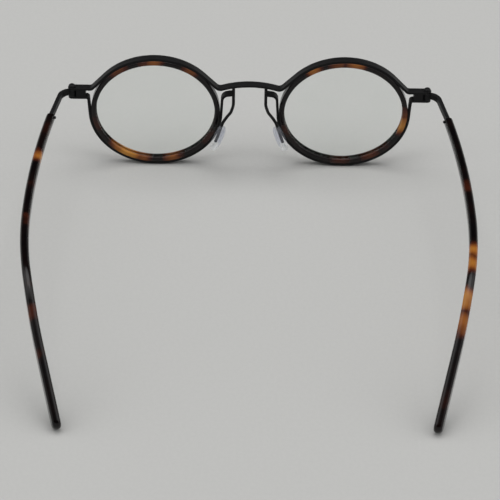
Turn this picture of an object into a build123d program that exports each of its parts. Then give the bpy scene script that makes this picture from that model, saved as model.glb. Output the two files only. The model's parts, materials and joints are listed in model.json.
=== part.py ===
"""Round eyeglasses: a flat titanium wire front that carries acetate rim inserts.

Frame: +Z up, +X to the wearer's left, the wearer looks along -Y.  The glasses stand on a
table on the bottoms of both rims and on both temple tips.  Millimetres.

Places on the front are given in the front's own tilted plane: x to the wearer's left,
height up the front from the lowest point of the rims, and back from its middle plane
towards the wearer.
"""
import os
from math import acos, asin, atan2, cos, degrees, hypot, radians, sin, tan

from build123d import *

# Lenses and front
lens_width = 43.0            # across the lens, in the groove of the rim
lens_height = 40.0
bridge_width = 23.0          # between the two lenses
front_tilt = 5.1             # degrees, the top of the front leans forwards
groove_depth = 0.7
rim_thickness = 1.1          # acetate outside the groove
rim_depth = 3.4
rim_rounding = 0.55
groove_width = 1.7
lens_thickness = 1.2
lens_radius = 130.0          # radius of the lens's curved faces
lens_clearance = 0.06        # between the lens edge and the bottom of the groove

# Titanium strip of the brow bar and of the rim wires.  Places are from the middle of the
# strip where it is widest round a rim: outwards or inwards of it, and above it.
strip_thickness = 0.9
strip_depth = 2.8
strip_rounding = 0.12
seat_gap = 0.02              # between the strip and the acetate rim
bar_above = 9.08             # the brow bar's ends
bar_corner_inset = 0.95      # where the brow bar turns off the rim to the hinge
bar_corner_radius = 1.6
valley_inset = 0.85          # where the brow bar turns from the rim into the bridge
valley_above = 9.3
valley_radius = 2.0
bridge_rise = 1.9            # top of the bridge above the two valleys
wire_corner_out = 0.33       # where the rim wire turns out under the hinge
wire_corner_radius = 0.75
wire_hook_out = 0.43         # where the rim wire turns in under the bridge
wire_hook_above = 6.98
wire_hook_radius = 2.2
wire_end_out = 4.28          # where the rim wire ends, on the pad arm
wire_end_rise = 0.5          # of that end above the hook's corner

# Hinge
hinge_out = 5.93             # hinge pin outwards of the rim
hinge_gap = 2.5              # clear height between the brow bar and the rim wire's end
washer_thickness = 0.15
washer_gap = 0.02
washer_inset = 0.05          # washer edge inside the strip's edge
pin_radius = 0.7
pin_head_radius = 1.25
pin_head_height = 0.95
pin_head_rounding = 0.9
pin_fit = 0.01               # pin in the strips
eye_clearance = 0.05         # pin in the temple's eye
block_clearance = 0.2        # end block to the temple's eye
block_inset = 1.35           # end block outwards of the rim wire's corner
block_rounding = 0.5

# Temples, measured back from the hinge pin
arm_thickness = 1.3
arm_corner_back = 0.6        # where the arm, leaving the hinge sideways, turns back
arm_corner_radius = 4.0
sleeve_start = 15.8          # where the acetate sleeve begins
sleeve_thickness = 2.75
sleeve_rounding = 1.15
sleeve_end_rounding = 0.3     # at the front, where the arm goes in
sleeve_front_height = 3.5
sleeve_bend_height = 4.4
sleeve_tip_height = 5.8
sleeve_tip_corner = 2.6      # radius of the tip's rounded corners
core_length = 28.0           # of the arm's flat core inside the sleeve
core_clearance = 0.03
widest_out = 10.45           # of the hinge pin, where the temples bow out furthest
widest_back = 66.0
bow_radius = 300.0
ear_radius = 160.0
ear_turn = 17.6              # degrees that the temple turns inwards behind the bow
bend_back = 97.0             # ear bend
bend_angle = 39.5            # degrees that the temple drops behind the bend
bend_radius = 18.0
rivet_radius = 0.5
rivet_setback = 0.7          # from the front of the sleeve
rivet_rise = 0.45            # above the temple's middle line
rivet_proud = 0.6
rivet_rounding = 0.25

# Nose pads.  The arm's bends are across from its top, down from the rim wire's end and back.
pad_wire_radius = 0.54
arm_setback = 0.6            # of the arm's top under the bridge
arm_bends = ((0, 4.1, 0.9), (0.9, 4.8, 4.2), (2.4, 5.1, 7.0), (3.6, 6.5, 7.95))
arm_bend_radii = (1.4, 2.0, 1.2, 1.2)
arm_end = (6.15, 15.0, 7.3)
pad_length = 11.0
pad_width = 6.2
pad_thickness = 2.2
pad_rounding = 0.9
pad_splay = 28.0             # degrees between the pad and the direction straight back
pad_offset = 0.32            # middle of the pad towards the nose from its wire
pad_drop = 1.5               # top of the pad below the last bend of its wire
pad_clearance = 0.05         # pad bore to its wire

# Sizes that follow
tilt = radians(front_tilt)
side_x = (lens_width + bridge_width) / 2
inner_a = lens_width / 2 - groove_depth
inner_b = lens_height / 2 - groove_depth
outer_a = lens_width / 2 + rim_thickness
outer_b = lens_height / 2 + rim_thickness
strip_a = outer_a + seat_gap + strip_thickness / 2
strip_b = outer_b + seat_gap + strip_thickness / 2
side_height = strip_b + strip_thickness / 2
hinge_x = side_x + strip_a + hinge_out
bar_height = side_height + bar_above
bar_corner_x = side_x + strip_a - bar_corner_inset
valley_x = side_x - strip_a + valley_inset
valley_height = side_height + valley_above
bridge_height = valley_height + bridge_rise
wire_corner_x = side_x + strip_a + wire_corner_out
wire_hook_x = side_x - strip_a - wire_hook_out
wire_hook_height = side_height + wire_hook_above
wire_end_x = side_x - strip_a - wire_end_out
widest_x = hinge_x + widest_out
bar_underside = bar_height - strip_thickness / 2
plate_top = bar_underside - hinge_gap
plate_height = plate_top - strip_thickness / 2
eye_height = hinge_gap - 2 * washer_thickness - 2 * washer_gap
eye_radius = strip_depth / 2
eye_middle = plate_top + hinge_gap / 2
rest_lift = strip_depth / 2 * sin(tilt)
hinge_drop = eye_middle * sin(tilt)
hinge_z = rest_lift + eye_middle * cos(tilt)
temple_z = hinge_z + sleeve_start * tan(tilt)
bend = radians(bend_angle)
tip_flat = sleeve_tip_height / 2 - sleeve_tip_corner
tip_reach = sleeve_tip_corner + tip_flat * (sin(bend) + cos(bend))
tip_run = (temple_z - tip_reach) / tan(bend)
front_reach = (outer_b + side_height) * sin(tilt) + rim_depth / 2 * cos(tilt)
depth = front_reach - hinge_drop + bend_back + tip_run + tip_reach
front_y = front_reach - depth / 2
hinge_y = front_y - hinge_drop
bow_turn = asin((widest_back - sleeve_start) / bow_radius)

up = Vector(0, -sin(tilt), cos(tilt))
back = Vector(0, cos(tilt), sin(tilt))
front_plane = Plane(origin=(0, front_y, rest_lift), x_dir=(1, 0, 0), z_dir=-back)


def front_point(x, height, behind=0.0):
    """A point given on the tilted front, in the model's frame."""
    return front_plane.origin + Vector(x, 0, 0) + up * height + back * behind


def front_tangent(x, height, side):
    """The angle, in degrees, at which a line from a point touches the strip's oval.

    side is 1 for the tangent point further up the oval and -1 for the one further down.
    """
    across = (x - side_x) / strip_a
    above = (height - side_height) / strip_b
    towards = degrees(atan2(above, abs(across)))
    spread = degrees(acos(1 / hypot(across, above)))
    angle = towards + side * spread
    return angle if across > 0 else 180 - angle


def oval_point(angle):
    """A point on the strip's oval, in the front's plane."""
    return (side_x + strip_a * cos(radians(angle)), side_height + strip_b * sin(radians(angle)))


def hinge_plane(height):
    """The plane across the hinge pin at a height up the front."""
    return Plane(origin=front_point(hinge_x, height), x_dir=(1, 0, 0), z_dir=up)


def export_pair(piece, name):
    """Write a left piece and its mirror image on the right, each in a file of its own."""
    piece.label = "left_" + name
    export_step(piece, "parts/" + piece.label + ".step")
    with BuildPart() as other:
        mirror(piece, about=Plane.YZ)
    other.part.label = "right_" + name
    export_step(other.part, "parts/" + other.part.label + ".step")


os.makedirs("parts", exist_ok=True)

# Brow bar: one flat strip from hinge to hinge, bent over both rims and across the bridge.
# Each end is rounded about its hinge pin and drilled for it.
with BuildPart() as brow_bar:
    with BuildSketch(front_plane):
        outer_angle = front_tangent(bar_corner_x, bar_height, 1)
        inner_angle = front_tangent(valley_x, valley_height, 1)
        with BuildLine() as bar_path:
            Line((hinge_x, bar_height), (bar_corner_x, bar_height))
            Line((bar_corner_x, bar_height), oval_point(outer_angle))
            EllipticalCenterArc(
                (side_x, side_height), strip_a, strip_b, outer_angle, arc_size=inner_angle - outer_angle
            )
            Line(oval_point(inner_angle), (valley_x, valley_height))
            mirror(bar_path.edges(), about=Plane.YZ)
            ThreePointArc((valley_x, valley_height), (0, bridge_height), (-valley_x, valley_height))
            fillet([v for v in bar_path.vertices() if abs(abs(v.X) - bar_corner_x) < 0.01], bar_corner_radius)
            fillet([v for v in bar_path.vertices() if abs(abs(v.X) - valley_x) < 0.01], valley_radius)
        trace(line_width=strip_thickness)
    extrude(amount=strip_depth / 2, both=True)
    for x in (hinge_x, -hinge_x):
        bar_end = Plane(origin=front_point(x, bar_underside), x_dir=(1, 0, 0), z_dir=up)
        with BuildSketch(bar_end):
            Circle(eye_radius)
        extrude(amount=strip_thickness)
        with BuildSketch(bar_end):
            Circle(pin_radius + pin_fit)
        extrude(amount=strip_thickness, mode=Mode.SUBTRACT)
    fillet(brow_bar.edges(), strip_rounding)
brow_bar.part.label = "brow_bar"
export_step(brow_bar.part, "parts/brow_bar.step")


def arm_point(out, drop, behind):
    """A point of the pad arm, from where the rim wire ends."""
    return front_point(wire_end_x + out, wire_hook_height - drop, behind)


# Pad arm: round wire soldered under the bridge.  It drops, sweeps back and runs down inside
# the nose pad.
pad_wire_corner = arm_point(*arm_bends[-1])
pad_wire_end = arm_point(*arm_end)
pad_axis = (pad_wire_end - pad_wire_corner).normalized()
bar_over_arm = bridge_height - bridge_rise * (wire_end_x / valley_x) ** 2
arm_top = front_point(wire_end_x, bar_over_arm, arm_setback)
with BuildPart() as pad_arm:
    with BuildLine() as pad_arm_path:
        FilletPolyline(
            arm_top, *[arm_point(*bend) for bend in arm_bends], pad_wire_end, radius=arm_bend_radii
        )
    with BuildSketch(Plane(origin=pad_arm_path.line @ 0, z_dir=pad_arm_path.line % 0)):
        Circle(pad_wire_radius)
    sweep()
    add(brow_bar.part, mode=Mode.SUBTRACT)
export_pair(pad_arm.part, "pad_arm")

# Rim wire: the same flat strip, from under the hinge round the bottom of the rim, up beside
# the nose and in to the pad arm.
with BuildPart() as rim_wire:
    with BuildSketch(front_plane):
        outer_angle = front_tangent(wire_corner_x, plate_height, -1)
        inner_angle = front_tangent(wire_hook_x, wire_hook_height, -1)
        with BuildLine() as wire_path:
            Line((hinge_x, plate_height), (wire_corner_x, plate_height))
            Line((wire_corner_x, plate_height), oval_point(outer_angle))
            EllipticalCenterArc(
                (side_x, side_height), strip_a, strip_b, outer_angle, arc_size=inner_angle - 360 - outer_angle
            )
            Line(oval_point(inner_angle), (wire_hook_x, wire_hook_height))
            Line((wire_hook_x, wire_hook_height), (wire_end_x, wire_hook_height + wire_end_rise))
            fillet([v for v in wire_path.vertices() if abs(v.X - wire_corner_x) < 0.01], wire_corner_radius)
            fillet([v for v in wire_path.vertices() if abs(v.X - wire_hook_x) < 0.01], wire_hook_radius)
        trace(line_width=strip_thickness)
    extrude(amount=strip_depth / 2, both=True)
    with BuildSketch(hinge_plane(plate_top)):
        Circle(eye_radius)
    extrude(amount=-strip_thickness)
    with BuildSketch(hinge_plane(plate_top)):
        Circle(pin_radius + pin_fit)
    extrude(amount=-strip_thickness, mode=Mode.SUBTRACT)
    fillet(rim_wire.edges(), strip_rounding)
    add(pad_arm.part, mode=Mode.SUBTRACT)
export_pair(rim_wire.part, "rim_wire")

# Rim insert: an acetate ring inside the wires, rounded, with a groove for the lens.
with BuildPart() as rim_insert:
    with BuildSketch(front_plane):
        with Locations((side_x, side_height)):
            Ellipse(outer_a, outer_b)
            Ellipse(inner_a, inner_b, mode=Mode.SUBTRACT)
    extrude(amount=rim_depth / 2, both=True)
    fillet(rim_insert.edges(), rim_rounding)
    with BuildSketch(front_plane):
        with Locations((side_x, side_height)):
            Ellipse(lens_width / 2, lens_height / 2)
    extrude(amount=groove_width / 2, both=True, mode=Mode.SUBTRACT)
export_pair(rim_insert.part, "rim_insert")

# Lens: a thin curved lens whose edge sits in the groove, bulging forwards.
edge_sag = lens_radius - (lens_radius**2 - (lens_width**2 + lens_height**2) / 8) ** 0.5
lens_centre = front_point(side_x, side_height, lens_radius - edge_sag)
with BuildPart() as lens:
    with BuildSketch(front_plane):
        with Locations((side_x, side_height)):
            Ellipse(lens_width / 2 - lens_clearance, lens_height / 2 - lens_clearance)
    extrude(amount=rim_depth, both=True)
    with Locations(lens_centre):
        Sphere(lens_radius + lens_thickness / 2, mode=Mode.INTERSECT)
        Sphere(lens_radius - lens_thickness / 2, mode=Mode.SUBTRACT)
export_pair(lens.part, "lens")

# End block: brazed between the brow bar and the rim wire, hollowed round the temple's eye.
with BuildPart() as end_block:
    block_x = wire_corner_x - strip_thickness / 2 + block_inset
    block_end = hinge_x - eye_radius
    with BuildSketch(front_plane):
        with BuildLine():
            Polyline(
                (block_x, plate_top), (block_x, bar_underside), (block_end, bar_underside),
                (block_end, plate_top), (block_x, plate_top),
            )
        block_outline = make_face()
        fillet(block_outline.vertices().group_by(Axis.X)[0].sort_by(Axis.Y)[-1], block_rounding)
    extrude(amount=strip_depth / 2, both=True)
    with BuildSketch(hinge_plane(plate_top)):
        Circle(eye_radius + block_clearance)
    extrude(amount=hinge_gap, mode=Mode.SUBTRACT)
export_pair(end_block.part, "end_block")

# Hinge pin: through the brow bar, the washers, the temple's eye and the rim wire's end, with
# a domed head on top.
with BuildPart() as hinge_pin:
    with BuildSketch(hinge_plane(bar_underside + strip_thickness)):
        Circle(pin_head_radius)
    extrude(amount=pin_head_height)
    fillet(hinge_pin.edges().sort_by(Axis.Z)[-1], pin_head_rounding)
    with BuildSketch(hinge_plane(plate_top - strip_thickness)):
        Circle(pin_radius)
    extrude(amount=hinge_gap + 2 * strip_thickness)
export_pair(hinge_pin.part, "hinge_pin")

# Washers: thin polymer rings above and below the temple's eye.
for name, height in (("lower_washer", plate_top), ("upper_washer", bar_underside - washer_thickness)):
    with BuildPart() as washer:
        with BuildSketch(hinge_plane(height)):
            Circle(eye_radius - washer_inset)
            Circle(pin_radius + eye_clearance, mode=Mode.SUBTRACT)
        extrude(amount=washer_thickness)
    export_pair(washer.part, name)


def temple_plan(length):
    """The temple's middle line seen from above, in the current sketch.

    It starts just ahead of the sleeve's front, bows outwards, turns in towards the ear and
    runs straight on for a length.
    """
    bow_angle = degrees(asin((widest_back - sleeve_start + sleeve_rounding) / bow_radius))
    ear = radians(ear_turn)
    CenterArc((widest_x - bow_radius, hinge_y + widest_back), bow_radius, -bow_angle, bow_angle)
    CenterArc((widest_x - ear_radius, hinge_y + widest_back), ear_radius, 0, ear_turn)
    ear_end = (widest_x - ear_radius * (1 - cos(ear)), hinge_y + widest_back + ear_radius * sin(ear))
    PolarLine(ear_end, length, 90 + ear_turn)


def bow_point(behind):
    """A point on the temple's middle line, ahead of its widest place."""
    angle = asin((widest_back - behind) / bow_radius)
    return (widest_x - bow_radius * (1 - cos(angle)), hinge_y + behind)


def arm_strip(grown):
    """The arm's strip from the hinge to the end of its core, grown by a clearance all round."""
    core_end = sleeve_start + core_length + grown
    end_turn = degrees(asin((widest_back - core_end) / bow_radius))
    start = bow_point(sleeve_start)
    corner_x = start[0] - (sleeve_start - arm_corner_back) * tan(bow_turn)
    with BuildPart() as strip:
        with BuildSketch():
            with BuildLine():
                FilletPolyline(
                    (hinge_x, hinge_y), (corner_x, hinge_y + arm_corner_back), start, radius=arm_corner_radius
                )
                CenterArc(
                    (widest_x - bow_radius, hinge_y + widest_back),
                    bow_radius,
                    -degrees(bow_turn),
                    degrees(bow_turn) - end_turn,
                )
            trace(line_width=arm_thickness + 2 * grown)
        extrude(amount=2 * temple_z)
        with BuildSketch(Plane.YZ):
            with BuildLine():
                Polyline(
                    (hinge_y - eye_radius, hinge_z - eye_radius * tan(tilt)),
                    (hinge_y + sleeve_start, temple_z),
                    (hinge_y + core_end, temple_z),
                )
            trace(line_width=eye_height + 2 * grown)
        extrude(amount=2 * widest_x, mode=Mode.INTERSECT)
    return strip.part


# Temple rivet: from the core through the inner wall of the acetate, where its head shows.
rivet_back = sleeve_start + rivet_setback
rivet_turn = asin((widest_back - rivet_back) / bow_radius)
rivet_x, rivet_y = bow_point(rivet_back)
rivet_foot = (rivet_x, rivet_y, temple_z + rivet_rise)
rivet_plane = Plane(origin=rivet_foot, x_dir=(0, 0, 1), z_dir=(-cos(rivet_turn), sin(rivet_turn), 0))
with BuildPart() as temple_rivet:
    with BuildSketch(rivet_plane.offset(-arm_thickness / 2)):
        Circle(rivet_radius)
    extrude(amount=arm_thickness / 2 + sleeve_thickness / 2 + rivet_proud)
    fillet(temple_rivet.edges().sort_by(Axis.X)[0], rivet_rounding)
export_pair(temple_rivet.part, "temple_rivet")

# Temple arm: a titanium strip with an eye round the hinge pin, whose end is the sleeve's core.
with BuildPart() as temple_arm:
    add(arm_strip(0))
    with BuildSketch(hinge_plane(eye_middle - eye_height / 2)):
        Circle(eye_radius)
    extrude(amount=eye_height)
    with BuildSketch(hinge_plane(plate_top)):
        Circle(pin_radius + eye_clearance)
    extrude(amount=hinge_gap, mode=Mode.SUBTRACT)
    add(temple_rivet.part, mode=Mode.SUBTRACT)
export_pair(temple_arm.part, "temple_arm")

# Temple sleeve: acetate over the core, straight to the ear bend and down behind the ear.  It
# is rounded all along and sawn off square at its front.
bend_point = Vector(hinge_y + bend_back, temple_z)
down = Vector(cos(bend), -sin(bend))
across = Vector(sin(bend), cos(bend))
tip_middle = bend_point + down * (hypot(tip_run, temple_z - tip_reach) + sleeve_tip_height / 2)
bend_corner = Vector(tan(bend / 2), 1) * (sleeve_bend_height / 2)
tip_corner = across * (sleeve_tip_height / 2)
front_corner = Vector(0, sleeve_front_height / 2)
sleeve_front = Vector(hinge_y + sleeve_start - sleeve_rounding, temple_z)
with BuildPart() as temple_sleeve:
    with BuildSketch():
        with BuildLine():
            temple_plan(bend_back)
        trace(line_width=sleeve_thickness)
    extrude(amount=2 * temple_z)
    with BuildSketch(Plane.YZ):
        with BuildLine():
            FilletPolyline(
                sleeve_front + front_corner,
                bend_point + bend_corner,
                tip_middle + tip_corner,
                tip_middle - tip_corner,
                bend_point - bend_corner,
                sleeve_front - front_corner,
                radius=(
                    bend_radius + sleeve_bend_height / 2,
                    sleeve_tip_corner,
                    sleeve_tip_corner,
                    bend_radius - sleeve_bend_height / 2,
                ),
            )
            Line(sleeve_front - front_corner, sleeve_front + front_corner)
        make_face()
    extrude(amount=2 * widest_x, mode=Mode.INTERSECT)
    fillet(temple_sleeve.edges(), sleeve_rounding)
    split(bisect_by=Plane(origin=(0, hinge_y + sleeve_start, 0), z_dir=(0, 1, 0)), keep=Keep.TOP)
    fillet(temple_sleeve.faces().sort_by(Axis.Y)[0].edges(), sleeve_end_rounding)
    add(arm_strip(core_clearance), mode=Mode.SUBTRACT)
    add(temple_rivet.part, mode=Mode.SUBTRACT)
export_pair(temple_sleeve.part, "temple_sleeve")

# Nose pad: soft clear silicone, an oval cushion with a bore for its wire.
facing = Vector(-cos(radians(pad_splay)), 0, 0) + back * sin(radians(pad_splay))
pad_normal = pad_axis.cross(facing).cross(pad_axis).normalized()
pad_middle = pad_wire_corner + pad_axis * (pad_drop + pad_length / 2) + pad_normal * pad_offset
with BuildPart() as nose_pad:
    with BuildSketch(Plane(origin=pad_middle, x_dir=pad_axis, z_dir=pad_normal)):
        Ellipse(pad_length / 2, pad_width / 2)
    extrude(amount=pad_thickness / 2, both=True)
    fillet(nose_pad.edges(), pad_rounding)
    with BuildSketch(Plane(origin=pad_wire_corner, z_dir=pad_axis)):
        Circle(pad_wire_radius + pad_clearance)
    extrude(amount=(pad_wire_end - pad_wire_corner).length + pad_clearance, mode=Mode.SUBTRACT)
export_pair(nose_pad.part, "nose_pad")
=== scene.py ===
"""Round eyeglasses: coated titanium wire, tortoise acetate, clear lenses and silicone pads.

Metres, in the frame of the model: +Z up, +X to the wearer's left, the wearer looks along -Y.
"""

import json
import math

import bpy
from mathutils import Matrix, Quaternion, Vector


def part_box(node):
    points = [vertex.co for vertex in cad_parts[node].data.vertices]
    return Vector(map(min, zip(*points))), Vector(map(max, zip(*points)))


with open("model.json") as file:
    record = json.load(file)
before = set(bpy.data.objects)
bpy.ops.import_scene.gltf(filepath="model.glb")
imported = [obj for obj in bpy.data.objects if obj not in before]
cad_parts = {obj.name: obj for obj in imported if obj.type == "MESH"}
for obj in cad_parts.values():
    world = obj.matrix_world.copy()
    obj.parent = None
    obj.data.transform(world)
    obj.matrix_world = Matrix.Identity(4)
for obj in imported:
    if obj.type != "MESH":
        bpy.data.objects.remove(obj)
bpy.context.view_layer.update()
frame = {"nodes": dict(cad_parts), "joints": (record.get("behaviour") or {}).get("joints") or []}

# Brow bar, rim wires, end blocks and pad arms.  Flat titanium strip, and round wire for the pad
# arms, bent to shape, brazed together and then coated black in a vacuum chamber.  The coating is
# thin, so it keeps the fine grain that blasting left.


def linear(colour):
    """An sRGB hex colour, such as "1c1b1d", as linear red, green, blue and alpha."""
    parts = [int(colour[i : i + 2], 16) / 255 for i in (0, 2, 4)]
    return [p / 12.92 if p <= 0.04045 else ((p + 0.055) / 1.055) ** 2.4 for p in parts] + [1.0]


def add(tree, kind, inputs=None, **settings):
    """Adds one shader node.  inputs gives each socket a value, or the output that feeds it."""
    new = tree.nodes.new("ShaderNode" + kind)
    for name, value in settings.items():
        setattr(new, name, value)
    for socket, value in (inputs or {}).items():
        if isinstance(value, bpy.types.NodeSocket):
            tree.links.new(value, new.inputs[socket])
        else:
            new.inputs[socket].default_value = value
    return new


def blank_material(name):
    """A material with only its output node.  Returns the material, its tree and the output."""
    material = bpy.data.materials.new(name)
    material.use_nodes = True
    tree = material.node_tree
    tree.nodes.clear()
    return material, tree, tree.nodes.new("ShaderNodeOutputMaterial")


def finish_with(material, *names):
    """Gives these pieces of the frame this material."""
    for name in names:
        for slot in frame["nodes"][name].material_slots:
            slot.material = material


def both(*names):
    """The names of a piece on the left and on the right side."""
    return [side + name for name in names for side in ("left_", "right_")]


# Black coated titanium: near black and satin.  Blasting grain of 0.12 mm is drawn at 0.35 mm,
# because finer grain wouldn't show.  The coating is a little worn to a lighter grey in patches.
metre = 1000                # mm, because every pattern size below is in mm
blasting_grain = 0.35
worn_patch = 7.0
grain_height = 0.00003
titanium, tree, out = blank_material("black_coated_titanium")
place = add(tree, "TexCoord").outputs["Object"]
worn = add(tree, "TexNoise", {"Vector": place, "Scale": metre / worn_patch, "Detail": 3.0})
speck = add(tree, "TexNoise", {"Vector": place, "Scale": metre / blasting_grain, "Detail": 2.0})
colour = add(tree, "ValToRGB", {"Fac": worn.outputs["Fac"]})
colour.color_ramp.elements[0].position = 0.3
colour.color_ramp.elements[0].color = linear("050506")
colour.color_ramp.elements[1].position = 0.75
colour.color_ramp.elements[1].color = linear("0f0e10")
rough = add(
    tree,
    "MapRange",
    {"Value": speck.outputs["Fac"], "From Min": 0.3, "From Max": 0.7, "To Min": 0.4, "To Max": 0.54},
)
bump = add(tree, "Bump", {"Height": speck.outputs["Fac"], "Strength": 0.15, "Distance": grain_height})
skin = add(
    tree,
    "BsdfPrincipled",
    {
        "Base Color": colour.outputs["Color"],
        "Roughness": rough.outputs["Result"],
        "IOR": 1.5,
        "Specular IOR Level": 0.2,
        "Normal": bump.outputs["Normal"],
    },
)
tree.links.new(skin.outputs[0], out.inputs["Surface"])
finish_with(titanium, "brow_bar", *both("rim_wire", "end_block", "pad_arm"))

# Hinge pins, temple arms and temple rivets.  Turned and flat titanium parts with the same
# black coating, so they take the same material.
finish_with(titanium, *both("hinge_pin", "temple_arm", "temple_rivet"))

# Hinge washers.  Thin black acetal rings that let the temple's eye turn without play.  Punched
# from sheet, slightly waxy and matt, with a fine even speck.
acetal_speck = 0.3
speck_height = 0.00002
acetal, tree, out = blank_material("black_acetal")
place = add(tree, "TexCoord").outputs["Object"]
speck = add(tree, "TexNoise", {"Vector": place, "Scale": metre / acetal_speck, "Detail": 2.0})
colour = add(tree, "ValToRGB", {"Fac": speck.outputs["Fac"]})
colour.color_ramp.elements[0].color = linear("17171a")
colour.color_ramp.elements[1].color = linear("26262a")
bump = add(tree, "Bump", {"Height": speck.outputs["Fac"], "Strength": 0.1, "Distance": speck_height})
skin = add(
    tree,
    "BsdfPrincipled",
    {
        "Base Color": colour.outputs["Color"],
        "Roughness": 0.55,
        "IOR": 1.48,
        "Normal": bump.outputs["Normal"],
    },
)
tree.links.new(skin.outputs[0], out.inputs["Surface"])
finish_with(acetal, *both("upper_washer", "lower_washer"))

# Rim inserts.  Rings milled from a sheet of tortoise cellulose acetate, tumbled to a polish
# and sprung into the wires.  The sheet is pressed from dark and amber pieces, so amber patches
# with soft edges come up through a brown that is nearly black.


def tortoise_acetate(name, patches):
    """Tortoise cellulose acetate, polished.  Each patch is (middle, reach in mm, strength).

    Strength 1 is clear amber, and lower ones stay deeper in the dark brown.  A patch is whole
    near its middle and fades out a little past its reach.
    """
    swirl = 5.0             # of the noise that pushes the patches out of round
    push = 0.0018
    mottle = 5.0            # of the faint brown clouds in the dark
    ripple = 1.6            # left by the tumbling
    ripple_height = 0.0001
    whole_within = 0.0002   # metres for each mm of reach
    gone_beyond = 0.0013
    material, tree, out = blank_material(name)
    place = add(tree, "TexCoord").outputs["Object"]
    noise = add(tree, "TexNoise", {"Vector": place, "Scale": metre / swirl, "Detail": 1.0})
    grey = (0.5, 0.5, 0.5)
    centred = add(tree, "VectorMath", {0: noise.outputs["Color"], 1: grey}, operation="SUBTRACT")
    pushed = add(tree, "VectorMath", {0: centred.outputs[0], "Scale": 2 * push}, operation="SCALE")
    moved = add(tree, "VectorMath", {0: place, 1: pushed.outputs[0]}, operation="ADD").outputs[0]
    clouds = add(
        tree, "TexNoise", {"Vector": moved, "Scale": metre / mottle, "Detail": 1.5, "Roughness": 0.5}
    )
    amber = add(
        tree,
        "MapRange",
        {"Value": clouds.outputs["Fac"], "From Min": 0.35, "From Max": 0.75, "To Min": 0.0, "To Max": 0.22},
    ).outputs["Result"]
    for middle, reach, strength in patches:
        away = add(tree, "VectorMath", {0: moved, 1: middle}, operation="DISTANCE")
        near = add(
            tree,
            "MapRange",
            {
                "Value": away.outputs["Value"],
                "From Min": reach * gone_beyond,
                "From Max": reach * whole_within,
                "To Min": 0.0,
                "To Max": strength,
            },
            interpolation_type="SMOOTHSTEP",
        )
        amber = add(tree, "Math", {0: amber, 1: near.outputs["Result"]}, operation="MAXIMUM").outputs[0]
    colour = add(tree, "ValToRGB", {"Fac": amber})
    stops = ((0.0, "030102"), (0.2, "100605"), (0.42, "451c0d"), (0.68, "8a4f20"), (1.0, "b97f33"))
    while len(colour.color_ramp.elements) < len(stops):
        colour.color_ramp.elements.new(1.0)
    for stop, (position, shade) in zip(colour.color_ramp.elements, stops):
        stop.position = position
        stop.color = linear(shade)
    wave = add(tree, "TexNoise", {"Vector": place, "Scale": metre / ripple, "Detail": 2.0})
    rough = add(
        tree,
        "MapRange",
        {"Value": wave.outputs["Fac"], "From Min": 0.3, "From Max": 0.7, "To Min": 0.12, "To Max": 0.2},
    )
    bump = add(tree, "Bump", {"Height": wave.outputs["Fac"], "Strength": 0.06, "Distance": ripple_height})
    skin = add(
        tree,
        "BsdfPrincipled",
        {
            "Base Color": colour.outputs["Color"],
            "Roughness": rough.outputs["Result"],
            "IOR": 1.49,
            "Specular IOR Level": 0.3,
            "Normal": bump.outputs["Normal"],
        },
    )
    tree.links.new(skin.outputs[0], out.inputs["Surface"])
    return material


def round_the_rim(name, places):
    """Patches on a rim.  Each place is (degrees round the rim, reach in mm, strength).

    The angle is 0 at the hinge side and 90 at the top, and the front leans forwards a little.
    """
    low, high = (Vector(corner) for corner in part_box(name))
    middle = (low + high) / 2
    half = (high - low) / 2
    lean = math.sin(math.radians(5.1))
    inside = 0.0009         # middle of the ring, in from its edge
    patches = []
    for angle, reach, strength in places:
        out = math.cos(math.radians(angle)) * (half.x - inside)
        above = math.sin(math.radians(angle)) * (half.z - inside)
        if name.startswith("right"):
            out = -out
        patches.append((middle + Vector((out, -above * lean, above)), reach, strength))
    return patches


amber_round_the_rims = {
    "left": (
        (-50, 5.0, 0.8), (-61, 6.5, 1.0), (-75, 5.0, 0.7), (-106, 5.5, 0.62), (90, 5.0, 0.68),
        (80, 3.5, 0.6), (124, 5.0, 0.56), (54, 6.0, 0.48), (-15, 6.0, 0.34), (-150, 6.0, 0.3),
    ),
    "right": (
        (120, 4.5, 0.78), (98, 5.0, 0.55), (82, 5.0, 0.74), (0, 5.0, 0.5), (-12, 4.8, 1.0),
        (-60, 6.0, 0.44), (-92, 6.5, 0.36), (-44, 4.0, 0.36), (-160, 6.0, 0.32),
    ),
}
for side, places in amber_round_the_rims.items():
    name = side + "_rim_insert"
    patches = round_the_rim(name, places)
    finish_with(tortoise_acetate("tortoise_acetate_" + side + "_rim", patches), name)

# Temple sleeves.  Milled from the same tortoise acetate and shot over the flat core of the
# temple arm while warm, then bent behind the ear and polished.


def along_the_temple(side, places):
    """Patches on a temple.  Each place is (mm back from the hinge, reach in mm, strength)."""
    pin = next(j for j in frame["joints"] if j["name"] == side + "_temple_hinge")["pos_m"]
    top = Vector(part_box(side + "_temple_sleeve")[1]).z
    under_top = 0.0029      # from the top of the sleeve to the line that the patches follow
    ear_bend = 97.0         # mm back from the hinge
    drop = math.tan(math.radians(39.5))
    widest = 66.0           # mm back from the hinge, where the temples bow out furthest
    widest_across = 0.0722
    front_bow = 0.0000017   # metres in from there, for each square mm ahead of it
    rear_bow = 0.0000032    # and behind it
    patches = []
    for behind, reach, strength in places:
        height = top - under_top - max(0.0, behind - ear_bend) / metre * drop
        bow = front_bow if behind < widest else rear_bow
        across = widest_across - bow * (behind - widest) ** 2
        if side == "right":
            across = -across
        patches.append((Vector((across, pin[1] + behind / metre, height)), reach, strength))
    return patches


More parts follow.
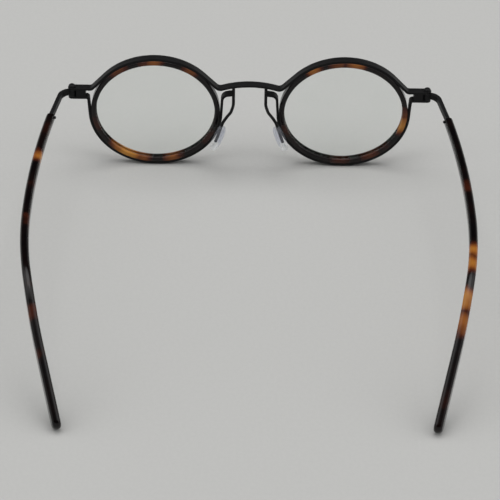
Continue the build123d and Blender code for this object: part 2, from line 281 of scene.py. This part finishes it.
amber_along_the_temples = {
    "left": (
        (38, 4.6, 1.0), (52.5, 5.0, 0.34), (70.5, 4.5, 0.56), (104.5, 4.5, 0.64), (115, 4.5, 0.42),
        (24, 8.0, 0.25),
    ),
    "right": (
        (51.5, 5.5, 0.42), (63, 5.0, 0.25), (83, 6.0, 0.95), (89, 6.0, 0.92), (100.5, 5.5, 1.0),
        (106.5, 6.5, 0.76), (125, 7.0, 0.3),
    ),
}
for side, places in amber_along_the_temples.items():
    patches = along_the_temple(side, places)
    finish_with(
        tortoise_acetate("tortoise_acetate_" + side + "_temple", patches), side + "_temple_sleeve"
    )

# Lenses.  Clear resin, ground and polished to a shallow curve, snapped into the groove of the
# rim insert.  An anti-reflection coating leaves only a faint green shine, and handling leaves
# a trace of haze in broad patches.
haze_patch = 9.0
resin, tree, out = blank_material("lens_resin")
place = add(tree, "TexCoord").outputs["Object"]
haze = add(tree, "TexNoise", {"Vector": place, "Scale": metre / haze_patch, "Detail": 2.0})
rough = add(
    tree,
    "MapRange",
    {"Value": haze.outputs["Fac"], "From Min": 0.4, "From Max": 0.8, "To Min": 0.0, "To Max": 0.02},
)
tint = add(tree, "ValToRGB", {"Fac": haze.outputs["Fac"]})
tint.color_ramp.elements[0].color = linear("fdfefd")
tint.color_ramp.elements[1].color = linear("f8fbf9")
clear = add(
    tree,
    "BsdfPrincipled",
    {
        "Base Color": tint.outputs["Color"],
        "Roughness": rough.outputs["Result"],
        "IOR": 1.5,
        "Transmission Weight": 1.0,
        "Specular IOR Level": 0.3,
        "Specular Tint": linear("cfe6da"),
    },
)

# Light that only shines through to the table passes straight, so the lenses cast no dark shadow.
rays = add(tree, "LightPath")
to_the_table = add(
    tree,
    "Math",
    {0: rays.outputs["Is Shadow Ray"], 1: rays.outputs["Is Diffuse Ray"]},
    operation="MAXIMUM",
)
passes = add(tree, "BsdfTransparent", {"Color": linear("fdfefd")})
lens = add(tree, "MixShader", {0: to_the_table.outputs[0], 1: clear.outputs[0], 2: passes.outputs[0]})
tree.links.new(lens.outputs[0], out.inputs["Surface"])
finish_with(resin, *both("lens"))

# Nose pads.  Clear silicone, moulded over the end of the pad arm's wire.  The wire lies near
# the back face, so the thick side against the nose looks milky and the wire side looks clear.


def clear_silicone(side, inward):
    """Clear silicone.  It turns milky towards the nose, which lies inward of the wire."""
    low, high = (Vector(corner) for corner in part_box(side + "_nose_pad"))
    cloud_size = 3.0
    skin_height = 0.0001
    material, tree, out = blank_material("clear_silicone_" + side)
    place = add(tree, "TexCoord").outputs["Object"]
    cloud = add(tree, "TexNoise", {"Vector": place, "Scale": metre / cloud_size, "Detail": 2.0})
    tint = add(tree, "ValToRGB", {"Fac": cloud.outputs["Fac"]})
    tint.color_ramp.elements[0].color = linear("ccd0de")
    tint.color_ramp.elements[1].color = linear("e0e3ee")

    # Across the pad it goes from clear over the wire to milky against the nose.
    noseward = Vector((inward * 0.94, 0.0, -0.34))
    centre = ((low + high) / 2).dot(noseward)
    clear_until = 0.0002
    milky_from = 0.0012
    across = add(tree, "VectorMath", {0: place, 1: noseward}, operation="DOT_PRODUCT")
    milk = add(
        tree,
        "MapRange",
        {
            "Value": across.outputs["Value"],
            "From Min": centre + clear_until,
            "From Max": centre + milky_from,
            "To Min": 0.08,
            "To Max": 0.8,
        },
        interpolation_type="SMOOTHSTEP",
    )

    # The rounded toe below the wire's end is painted pale and nearly opaque, a painted highlight where the
    # bottom of the pad catches the light.
    toe_highlight_starts = 0.0024
    toe_highlight_whole = 0.0012
    height = add(tree, "SeparateXYZ", {0: place})
    painted_toe_highlight = add(
        tree,
        "MapRange",
        {
            "Value": height.outputs["Z"],
            "From Min": low.z + toe_highlight_starts,
            "From Max": low.z + toe_highlight_whole,
            "To Min": 0.0,
            "To Max": 0.8,
        },
        interpolation_type="SMOOTHSTEP",
    ).outputs["Result"]
    # Painted highlight: towards the bottom the colour is mixed to near white (f2f3ee) and the pad is made
    # nearly opaque.
    tint_and_toe_highlight = add(tree, "MixRGB", {"Fac": painted_toe_highlight, "Color1": tint.outputs["Color"], "Color2": linear("f2f3ee")})
    milk_and_toe_highlight = add(tree, "Math", {0: milk.outputs["Result"], 1: painted_toe_highlight}, operation="MAXIMUM")
    rough = add(
        tree,
        "MapRange",
        {"Value": cloud.outputs["Fac"], "From Min": 0.3, "From Max": 0.7, "To Min": 0.14, "To Max": 0.24},
    )
    bump = add(tree, "Bump", {"Height": cloud.outputs["Fac"], "Strength": 0.05, "Distance": skin_height})
    skin = add(
        tree,
        "BsdfPrincipled",
        {
            "Base Color": tint_and_toe_highlight.outputs["Color"],
            "Roughness": rough.outputs["Result"],
            "IOR": 1.41,
            "Alpha": milk_and_toe_highlight.outputs[0],
            "Normal": bump.outputs["Normal"],
        },
    )
    tree.links.new(skin.outputs[0], out.inputs["Surface"])
    return material


finish_with(clear_silicone("left", -1.0), "left_nose_pad")
finish_with(clear_silicone("right", 1.0), "right_nose_pad")

# Floor.  A sheet of pale grey studio paper, laid flat under the glasses.  It is matt, and its
# tooth of about 0.2 mm is drawn at 1.2 mm, because finer tooth wouldn't show.
edge = 3.0
paper_tooth = 1.2
sheet = bpy.data.meshes.new("studio_paper")
sheet.from_pydata(
    [(-edge, -edge, 0), (edge, -edge, 0), (edge, edge, 0), (-edge, edge, 0)], [], [(0, 1, 2, 3)]
)
floor = bpy.data.objects.new("studio_paper", sheet)
bpy.context.scene.collection.objects.link(floor)
paper, tree, out = blank_material("grey_studio_paper")
place = add(tree, "TexCoord").outputs["Object"]
tooth = add(tree, "TexNoise", {"Vector": place, "Scale": metre / paper_tooth, "Detail": 3.0})
colour = add(tree, "ValToRGB", {"Fac": tooth.outputs["Fac"]})
colour.color_ramp.elements[0].color = linear("bdbdbb")
colour.color_ramp.elements[1].color = linear("c3c3c1")
matt = add(
    tree,
    "BsdfPrincipled",
    {"Base Color": colour.outputs["Color"], "Roughness": 0.95, "Specular IOR Level": 0.1},
)
tree.links.new(matt.outputs[0], out.inputs["Surface"])
sheet.materials.append(paper)

# Light.  A bright band of ceiling and side windows runs over the glasses from left to right.
# The room ahead and behind is darker, so the flat tops stay black, and its walls are pale again
# near the floor.  Each edge is a part of the unit direction looked in.
band_whole_within = 0.2     # how far ahead or behind
band_gone_beyond = 0.62
wall_whole_below = 0.2      # how far up
wall_gone_above = 0.36
world = bpy.data.worlds.new("studio")
bpy.context.scene.world = world
world.use_nodes = True
tree = world.node_tree
tree.nodes.clear()
out = tree.nodes.new("ShaderNodeOutputWorld")
towards = add(tree, "TexCoord").outputs["Generated"]
parts = add(tree, "SeparateXYZ", {0: towards})
ahead = add(tree, "Math", {0: parts.outputs["Y"]}, operation="ABSOLUTE")
band = add(
    tree,
    "MapRange",
    {
        "Value": ahead.outputs[0],
        "From Min": band_whole_within,
        "From Max": band_gone_beyond,
        "To Min": 1.5,
        "To Max": 0.05,
    },
    interpolation_type="SMOOTHSTEP",
)
low = add(
    tree,
    "MapRange",
    {
        "Value": parts.outputs["Z"],
        "From Min": wall_whole_below,
        "From Max": wall_gone_above,
        "To Min": 1.0,
        "To Max": 0.0,
    },
    interpolation_type="SMOOTHSTEP",
)
wall = add(tree, "Background", {"Color": linear("c0c0be"), "Strength": 1.0})
ceiling = add(tree, "Background", {"Color": linear("ffffff"), "Strength": band.outputs["Result"]})
room = add(tree, "MixShader", {0: low.outputs["Result"], 1: ceiling.outputs[0], 2: wall.outputs[0]})
tree.links.new(room.outputs[0], out.inputs["Surface"])

# Overhead soft box.  A lamp behind a square of white cloth, hung a little ahead of the glasses
# and turned to face them.  It gives the soft shadows on the paper.
box_light = bpy.data.lights.new("overhead_box", "AREA")
box_light.size = 0.9
box_light.energy = 4.1
overhead_box = bpy.data.objects.new("overhead_box", box_light)
overhead_box.location = (0.0, -0.25, 1.3)
overhead_box.rotation_euler = (-overhead_box.location).to_track_quat("-Z", "Y").to_euler()
bpy.context.scene.collection.objects.link(overhead_box)

# Camera.  Stands behind the wearer, above the glasses, and looks down at the front.  It leans
# by about a degree, as a camera held by hand does.
aim = Vector((-0.0006, -0.0167, 0.0))
distance = 0.6887
fall = math.radians(42.79)
sidestep = 0.0045
lean = math.radians(0.98)
camera = bpy.data.objects.new("camera", bpy.data.cameras.new("camera"))
camera.data.lens = 145.07
camera.data.sensor_width = 36.0
camera.location = aim + Vector((sidestep, math.cos(fall) * distance, math.sin(fall) * distance))
heading = (aim - camera.location).to_track_quat("-Z", "Y")
camera.rotation_euler = (heading @ Quaternion((0.0, 0.0, 1.0), lean)).to_euler()
bpy.context.scene.collection.objects.link(camera)
bpy.context.scene.camera = camera
bpy.context.scene.view_settings.view_transform = "Standard"
